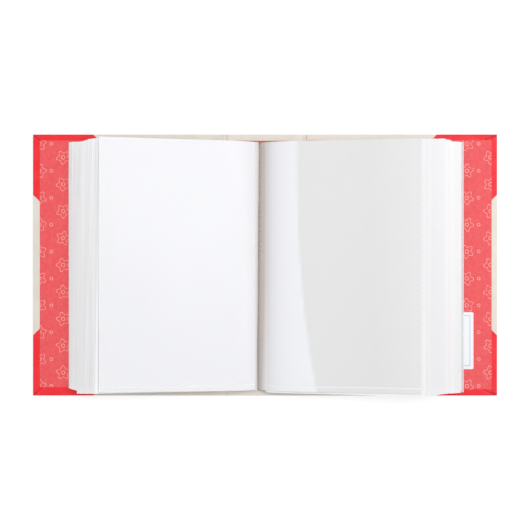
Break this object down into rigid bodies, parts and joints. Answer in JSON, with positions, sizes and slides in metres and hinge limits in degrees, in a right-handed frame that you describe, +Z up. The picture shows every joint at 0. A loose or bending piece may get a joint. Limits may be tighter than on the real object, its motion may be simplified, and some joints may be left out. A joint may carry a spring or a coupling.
{
  "type": "pocket photo album",
  "caption": "Open pocket photo album: hinged hard covers with red corners, a welded block of pocket leaves and red endpapers.",
  "frame": {"origin": "on the surface the open album lies on, under the middle of the spine", "axes": "+X from the front cover to the back cover, +Y towards the head of the pages, +Z up"},
  "size_m": [0.2934, 0.165, 0.0266],
  "materials": {
    "grey_board": "matt grey board",
    "cover_paper": "matt laminated beige paper",
    "red_paper": "matt red paper",
    "endpaper": "red paper with a pale line pattern",
    "leaf_sheet": "white sheet under thin film",
    "clear_film": "clear polypropylene film",
    "frosted_film": "frosted polypropylene film",
    "block_weld": "welded and glued film edges",
    "sticker_paper": "bare white label paper"
  },
  "bodies": {
    "spine": {"spine_board": "grey_board", "spine_wrap": "cover_paper", "spine_lining": "red_paper", "leaf_block": "block_weld", "front_joint": "cover_paper", "back_joint": "cover_paper"},
    "front_cover": {"front_board": "grey_board", "front_wrap": "cover_paper", "front_corner_head": "red_paper", "front_corner_tail": "red_paper", "front_endpaper": "endpaper"},
    "back_cover": {"back_board": "grey_board", "back_wrap": "cover_paper", "back_corner_head": "red_paper", "back_corner_tail": "red_paper", "back_endpaper": "endpaper", "label_sticker": "sticker_paper"},
    "leaf_01": {"leaf_01": "leaf_sheet"},
    "leaf_02": {"leaf_02": "leaf_sheet"},
    "leaf_03": {"leaf_03": "leaf_sheet"},
    "leaf_04": {"leaf_04": "leaf_sheet"},
    "leaf_05": {"leaf_05": "leaf_sheet"},
    "leaf_06": {"leaf_06": "leaf_sheet"},
    "leaf_07": {"leaf_07": "leaf_sheet"},
    "leaf_08": {"leaf_08": "leaf_sheet"},
    "leaf_09": {"leaf_09": "leaf_sheet"},
    "leaf_10": {"leaf_10": "leaf_sheet"},
    "leaf_11": {"leaf_11": "leaf_sheet"},
    "leaf_12": {"leaf_12": "leaf_sheet"},
    "leaf_13": {"leaf_13": "leaf_sheet"},
    "leaf_14": {"leaf_14": "leaf_sheet"},
    "leaf_15": {"leaf_15": "leaf_sheet"},
    "leaf_16": {"leaf_16": "leaf_sheet"},
    "leaf_17": {"leaf_17_margin": "leaf_sheet"},
    "turning_page": {"leaf_17_sheet": "leaf_sheet", "leaf_17_pocket": "clear_film"},
    "leaf_18": {"leaf_18_sheet": "leaf_sheet", "leaf_18_pocket": "frosted_film"},
    "leaf_19": {"leaf_19": "leaf_sheet"},
    "leaf_20": {"leaf_20": "leaf_sheet"},
    "leaf_21": {"leaf_21": "leaf_sheet"},
    "leaf_22": {"leaf_22": "leaf_sheet"},
    "leaf_23": {"leaf_23": "leaf_sheet"},
    "leaf_24": {"leaf_24": "leaf_sheet"},
    "leaf_25": {"leaf_25": "leaf_sheet"},
    "leaf_26": {"leaf_26": "leaf_sheet"},
    "leaf_27": {"leaf_27": "leaf_sheet"},
    "leaf_28": {"leaf_28": "leaf_sheet"},
    "leaf_29": {"leaf_29": "leaf_sheet"},
    "leaf_30": {"leaf_30": "leaf_sheet"},
    "leaf_31": {"leaf_31": "leaf_sheet"},
    "leaf_32": {"leaf_32": "leaf_sheet"},
    "leaf_33": {"leaf_33": "leaf_sheet"},
    "leaf_34": {"leaf_34": "leaf_sheet"},
    "leaf_35": {"leaf_35": "leaf_sheet"},
    "leaf_36": {"leaf_36": "leaf_sheet"},
    "leaf_37": {"leaf_37": "leaf_sheet"},
    "leaf_38": {"leaf_38": "leaf_sheet"}
  },
  "joints": [
    {"name": "front_cover_hinge", "type": "hinge", "parent": "spine", "child": "front_cover", "pos_m": [-0.02505, 0, 0.0013], "axis": [0, -1, 0], "range_deg": [-90, 0], "deforming": ["front_joint"]},
    {"name": "back_cover_hinge", "type": "hinge", "parent": "spine", "child": "back_cover", "pos_m": [0.02505, 0, 0.0013], "axis": [0, 1, 0], "range_deg": [-90, 0], "deforming": ["back_joint"]},
    {"name": "leaf_01_hinge", "type": "hinge", "parent": "spine", "child": "leaf_01", "pos_m": [-0.021, 0, 0.00492], "axis": [0, -1, 0], "range_deg": [-89.8, 0]},
    {"name": "leaf_02_hinge", "type": "hinge", "parent": "spine", "child": "leaf_02", "pos_m": [-0.01987, 0, 0.00522], "axis": [0, -1, 0], "range_deg": [-88.58, 0]},
    {"name": "leaf_03_hinge", "type": "hinge", "parent": "spine", "child": "leaf_03", "pos_m": [-0.01873, 0, 0.00551], "axis": [0, -1, 0], "range_deg": [-87.7, 0]},
    {"name": "leaf_04_hinge", "type": "hinge", "parent": "spine", "child": "leaf_04", "pos_m": [-0.01759, 0, 0.00577], "axis": [0, -1, 0], "range_deg": [-86.9, 0]},
    {"name": "leaf_05_hinge", "type": "hinge", "parent": "spine", "child": "leaf_05", "pos_m": [-0.01646, 0, 0.00602], "axis": [0, -1, 0], "range_deg": [-86.16, 0]},
    {"name": "leaf_06_hinge", "type": "hinge", "parent": "spine", "child": "leaf_06", "pos_m": [-0.01532, 0, 0.00626], "axis": [0, -1, 0], "range_deg": [-85.45, 0]},
    {"name": "leaf_07_hinge", "type": "hinge", "parent": "spine", "child": "leaf_07", "pos_m": [-0.01419, 0, 0.00649], "axis": [0, -1, 0], "range_deg": [-84.76, 0]},
    {"name": "leaf_08_hinge", "type": "hinge", "parent": "spine", "child": "leaf_08", "pos_m": [-0.01305, 0, 0.0067], "axis": [0, -1, 0], "range_deg": [-84.1, 0]},
    {"name": "leaf_09_hinge", "type": "hinge", "parent": "spine", "child": "leaf_09", "pos_m": [-0.01192, 0, 0.0069], "axis": [0, -1, 0], "range_deg": [-83.43, 0]},
    {"name": "leaf_10_hinge", "type": "hinge", "parent": "spine", "child": "leaf_10", "pos_m": [-0.01078, 0, 0.00708], "axis": [0, -1, 0], "range_deg": [-82.78, 0]},
    {"name": "leaf_11_hinge", "type": "hinge", "parent": "spine", "child": "leaf_11", "pos_m": [-0.00965, 0, 0.00725], "axis": [0, -1, 0], "range_deg": [-82.14, 0]},
    {"name": "leaf_12_hinge", "type": "hinge", "parent": "spine", "child": "leaf_12", "pos_m": [-0.00851, 0, 0.00741], "axis": [0, -1, 0], "range_deg": [-81.5, 0]},
    {"name": "leaf_13_hinge", "type": "hinge", "parent": "spine", "child": "leaf_13", "pos_m": [-0.00738, 0, 0.00756], "axis": [0, -1, 0], "range_deg": [-80.86, 0]},
    {"name": "leaf_14_hinge", "type": "hinge", "parent": "spine", "child": "leaf_14", "pos_m": [-0.00624, 0, 0.0077], "axis": [0, -1, 0], "range_deg": [-80.23, 0]},
    {"name": "leaf_15_hinge", "type": "hinge", "parent": "spine", "child": "leaf_15", "pos_m": [-0.00511, 0, 0.00782], "axis": [0, -1, 0], "range_deg": [-79.61, 0]},
    {"name": "leaf_16_hinge", "type": "hinge", "parent": "spine", "child": "leaf_16", "pos_m": [-0.00397, 0, 0.00793], "axis": [0, -1, 0], "range_deg": [-78.97, 0]},
    {"name": "leaf_17_hinge", "type": "hinge", "parent": "spine", "child": "leaf_17", "pos_m": [-0.00284, 0, 0.00803], "axis": [0, -1, 0], "range_deg": [-78.34, 0]},
    {"name": "page_turn", "type": "hinge", "parent": "leaf_17", "child": "turning_page", "pos_m": [-0.00576, 0, 0.00914], "axis": [0, 1, 0], "range_deg": [0, 155], "deforming": ["leaf_17_sheet", "leaf_17_pocket"]},
    {"name": "leaf_18_hinge", "type": "hinge", "parent": "spine", "child": "leaf_18", "pos_m": [-0.0017, 0, 0.00898], "axis": [0, 1, 0], "range_deg": [-78.98, 0]},
    {"name": "leaf_19_hinge", "type": "hinge", "parent": "spine", "child": "leaf_19", "pos_m": [-0.00057, 0, 0.00887], "axis": [0, 1, 0], "range_deg": [-79.46, 0]},
    {"name": "leaf_20_hinge", "type": "hinge", "parent": "spine", "child": "leaf_20", "pos_m": [0.00057, 0, 0.00875], "axis": [0, 1, 0], "range_deg": [-79.95, 0]},
    {"name": "leaf_21_hinge", "type": "hinge", "parent": "spine", "child": "leaf_21", "pos_m": [0.0017, 0, 0.00862], "axis": [0, 1, 0], "range_deg": [-80.42, 0]},
    {"name": "leaf_22_hinge", "type": "hinge", "parent": "spine", "child": "leaf_22", "pos_m": [0.00284, 0, 0.00848], "axis": [0, 1, 0], "range_deg": [-80.91, 0]},
    {"name": "leaf_23_hinge", "type": "hinge", "parent": "spine", "child": "leaf_23", "pos_m": [0.00397, 0, 0.00833], "axis": [0, 1, 0], "range_deg": [-81.39, 0]},
    {"name": "leaf_24_hinge", "type": "hinge", "parent": "spine", "child": "leaf_24", "pos_m": [0.00511, 0, 0.00817], "axis": [0, 1, 0], "range_deg": [-81.87, 0]},
    {"name": "leaf_25_hinge", "type": "hinge", "parent": "spine", "child": "leaf_25", "pos_m": [0.00624, 0, 0.008], "axis": [0, 1, 0], "range_deg": [-82.35, 0]},
    {"name": "leaf_26_hinge", "type": "hinge", "parent": "spine", "child": "leaf_26", "pos_m": [0.00738, 0, 0.00783], "axis": [0, 1, 0], "range_deg": [-82.84, 0]},
    {"name": "leaf_27_hinge", "type": "hinge", "parent": "spine", "child": "leaf_27", "pos_m": [0.00851, 0, 0.00764], "axis": [0, 1, 0], "range_deg": [-83.32, 0]},
    {"name": "leaf_28_hinge", "type": "hinge", "parent": "spine", "child": "leaf_28", "pos_m": [0.00965, 0, 0.00745], "axis": [0, 1, 0], "range_deg": [-83.82, 0]},
    {"name": "leaf_29_hinge", "type": "hinge", "parent": "spine", "child": "leaf_29", "pos_m": [0.01078, 0, 0.00724], "axis": [0, 1, 0], "range_deg": [-84.31, 0]},
    {"name": "leaf_30_hinge", "type": "hinge", "parent": "spine", "child": "leaf_30", "pos_m": [0.01192, 0, 0.00703], "axis": [0, 1, 0], "range_deg": [-84.82, 0]},
    {"name": "leaf_31_hinge", "type": "hinge", "parent": "spine", "child": "leaf_31", "pos_m": [0.01305, 0, 0.0068], "axis": [0, 1, 0], "range_deg": [-85.32, 0]},
    {"name": "leaf_32_hinge", "type": "hinge", "parent": "spine", "child": "leaf_32", "pos_m": [0.01419, 0, 0.00657], "axis": [0, 1, 0], "range_deg": [-85.84, 0]},
    {"name": "leaf_33_hinge", "type": "hinge", "parent": "spine", "child": "leaf_33", "pos_m": [0.01532, 0, 0.00632], "axis": [0, 1, 0], "range_deg": [-86.37, 0]},
    {"name": "leaf_34_hinge", "type": "hinge", "parent": "spine", "child": "leaf_34", "pos_m": [0.01646, 0, 0.00607], "axis": [0, 1, 0], "range_deg": [-86.93, 0]},
    {"name": "leaf_35_hinge", "type": "hinge", "parent": "spine", "child": "leaf_35", "pos_m": [0.01759, 0, 0.0058], "axis": [0, 1, 0], "range_deg": [-87.51, 0]},
    {"name": "leaf_36_hinge", "type": "hinge", "parent": "spine", "child": "leaf_36", "pos_m": [0.01873, 0, 0.00552], "axis": [0, 1, 0], "range_deg": [-88.13, 0]},
    {"name": "leaf_37_hinge", "type": "hinge", "parent": "spine", "child": "leaf_37", "pos_m": [0.01987, 0, 0.00523], "axis": [0, 1, 0], "range_deg": [-88.82, 0]},
    {"name": "leaf_38_hinge", "type": "hinge", "parent": "spine", "child": "leaf_38", "pos_m": [0.021, 0, 0.00492], "axis": [0, 1, 0], "range_deg": [-89.8, 0]}
  ],
  "couplings": [
    {"joint": "leaf_01_hinge", "follows": "front_cover_hinge", "ratio": 0.9978},
    {"joint": "leaf_02_hinge", "follows": "front_cover_hinge", "ratio": 0.9842},
    {"joint": "leaf_03_hinge", "follows": "front_cover_hinge", "ratio": 0.9744},
    {"joint": "leaf_04_hinge", "follows": "front_cover_hinge", "ratio": 0.9656},
    {"joint": "leaf_05_hinge", "follows": "front_cover_hinge", "ratio": 0.9573},
    {"joint": "leaf_06_hinge", "follows": "front_cover_hinge", "ratio": 0.9495},
    {"joint": "leaf_07_hinge", "follows": "front_cover_hinge", "ratio": 0.9418},
    {"joint": "leaf_08_hinge", "follows": "front_cover_hinge", "ratio": 0.9344},
    {"joint": "leaf_09_hinge", "follows": "front_cover_hinge", "ratio": 0.927},
    {"joint": "leaf_10_hinge", "follows": "front_cover_hinge", "ratio": 0.9198},
    {"joint": "leaf_11_hinge", "follows": "front_cover_hinge", "ratio": 0.9127},
    {"joint": "leaf_12_hinge", "follows": "front_cover_hinge", "ratio": 0.9056},
    {"joint": "leaf_13_hinge", "follows": "front_cover_hinge", "ratio": 0.8985},
    {"joint": "leaf_14_hinge", "follows": "front_cover_hinge", "ratio": 0.8915},
    {"joint": "leaf_15_hinge", "follows": "front_cover_hinge", "ratio": 0.8845},
    {"joint": "leaf_16_hinge", "follows": "front_cover_hinge", "ratio": 0.8775},
    {"joint": "leaf_17_hinge", "follows": "front_cover_hinge", "ratio": 0.8705},
    {"joint": "leaf_18_hinge", "follows": "back_cover_hinge", "ratio": 0.8776},
    {"joint": "leaf_19_hinge", "follows": "back_cover_hinge", "ratio": 0.8829},
    {"joint": "leaf_20_hinge", "follows": "back_cover_hinge", "ratio": 0.8883},
    {"joint": "leaf_21_hinge", "follows": "back_cover_hinge", "ratio": 0.8936},
    {"joint": "leaf_22_hinge", "follows": "back_cover_hinge", "ratio": 0.899},
    {"joint": "leaf_23_hinge", "follows": "back_cover_hinge", "ratio": 0.9043},
    {"joint": "leaf_24_hinge", "follows": "back_cover_hinge", "ratio": 0.9097},
    {"joint": "leaf_25_hinge", "follows": "back_cover_hinge", "ratio": 0.915},
    {"joint": "leaf_26_hinge", "follows": "back_cover_hinge", "ratio": 0.9204},
    {"joint": "leaf_27_hinge", "follows": "back_cover_hinge", "ratio": 0.9258},
    {"joint": "leaf_28_hinge", "follows": "back_cover_hinge", "ratio": 0.9313},
    {"joint": "leaf_29_hinge", "follows": "back_cover_hinge", "ratio": 0.9368},
    {"joint": "leaf_30_hinge", "follows": "back_cover_hinge", "ratio": 0.9424},
    {"joint": "leaf_31_hinge", "follows": "back_cover_hinge", "ratio": 0.948},
    {"joint": "leaf_32_hinge", "follows": "back_cover_hinge", "ratio": 0.9538},
    {"joint": "leaf_33_hinge", "follows": "back_cover_hinge", "ratio": 0.9597},
    {"joint": "leaf_34_hinge", "follows": "back_cover_hinge", "ratio": 0.9659},
    {"joint": "leaf_35_hinge", "follows": "back_cover_hinge", "ratio": 0.9723},
    {"joint": "leaf_36_hinge", "follows": "back_cover_hinge", "ratio": 0.9792},
    {"joint": "leaf_37_hinge", "follows": "back_cover_hinge", "ratio": 0.9869},
    {"joint": "leaf_38_hinge", "follows": "back_cover_hinge", "ratio": 0.9978}
  ]
}
